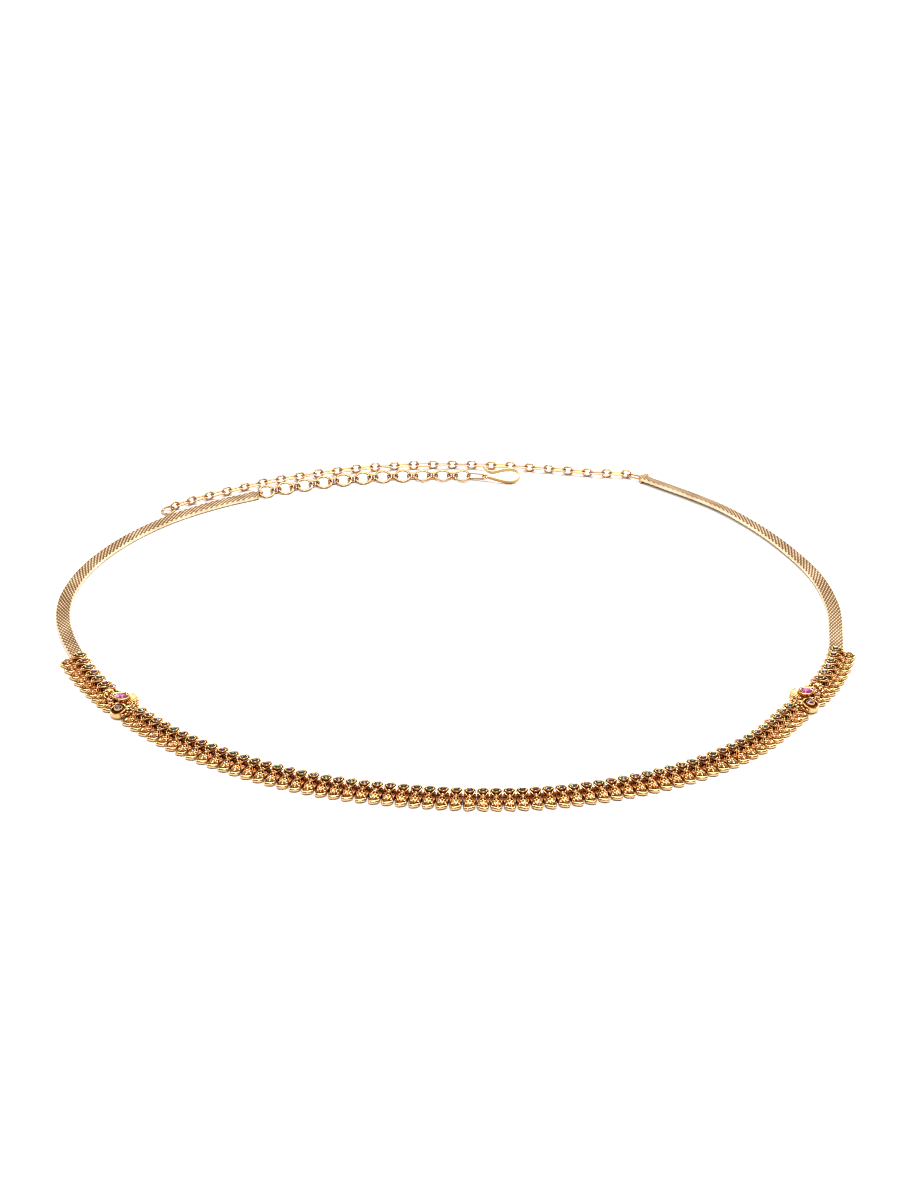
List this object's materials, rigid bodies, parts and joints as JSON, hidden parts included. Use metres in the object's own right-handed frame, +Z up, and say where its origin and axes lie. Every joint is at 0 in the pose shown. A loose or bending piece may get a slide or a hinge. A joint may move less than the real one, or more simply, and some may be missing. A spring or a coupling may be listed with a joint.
{
  "type": "waist chain belt",
  "caption": "Stone-set waist belt laid open in a loop: strung units with mango drops, two peacock motifs, woven bands, a ring chain with hook and a long chain.",
  "frame": {"origin": "middle of the bounding box in plan, on the table's surface", "axes": "+X to the right along the front row, +Y from the front row to the chains at the back, +Z up from the table"},
  "size_m": [0.3315, 0.2905, 0.0058],
  "materials": {
    "gold_plate": "antique matt gold plate with darkened recesses",
    "wire": "drawn gold-coloured wire",
    "green_glass": "faceted dark green glass, foiled behind",
    "red_glass": "faceted dark pink glass, foiled behind",
    "pink_glass": "faceted bright pink glass, foiled behind",
    "rose_glass": "faceted rose glass, foiled behind"
  },
  "bodies": {
    "root": {"front_units_left": "gold_plate", "front_units_right": "gold_plate", "peacock_left": "gold_plate", "peacock_right": "gold_plate", "stringing_wire": "wire", "emerald_stones": "green_glass", "ruby_stones": "red_glass", "teardrop_stone_left": "pink_glass", "teardrop_stone_right": "pink_glass", "pendant_stone_left": "red_glass", "pendant_stone_right": "red_glass", "crest_stone_left": "rose_glass", "crest_stone_right": "rose_glass", "side_stone_left": "rose_glass", "side_stone_right": "rose_glass", "band_left": "gold_plate", "band_right": "gold_plate", "end_cap_left": "gold_plate", "end_cap_right": "gold_plate", "ring_chain": "gold_plate", "hook_link": "gold_plate", "hook": "gold_plate", "long_chain": "gold_plate", "end_ring": "gold_plate"}
  },
  "joints": []
}
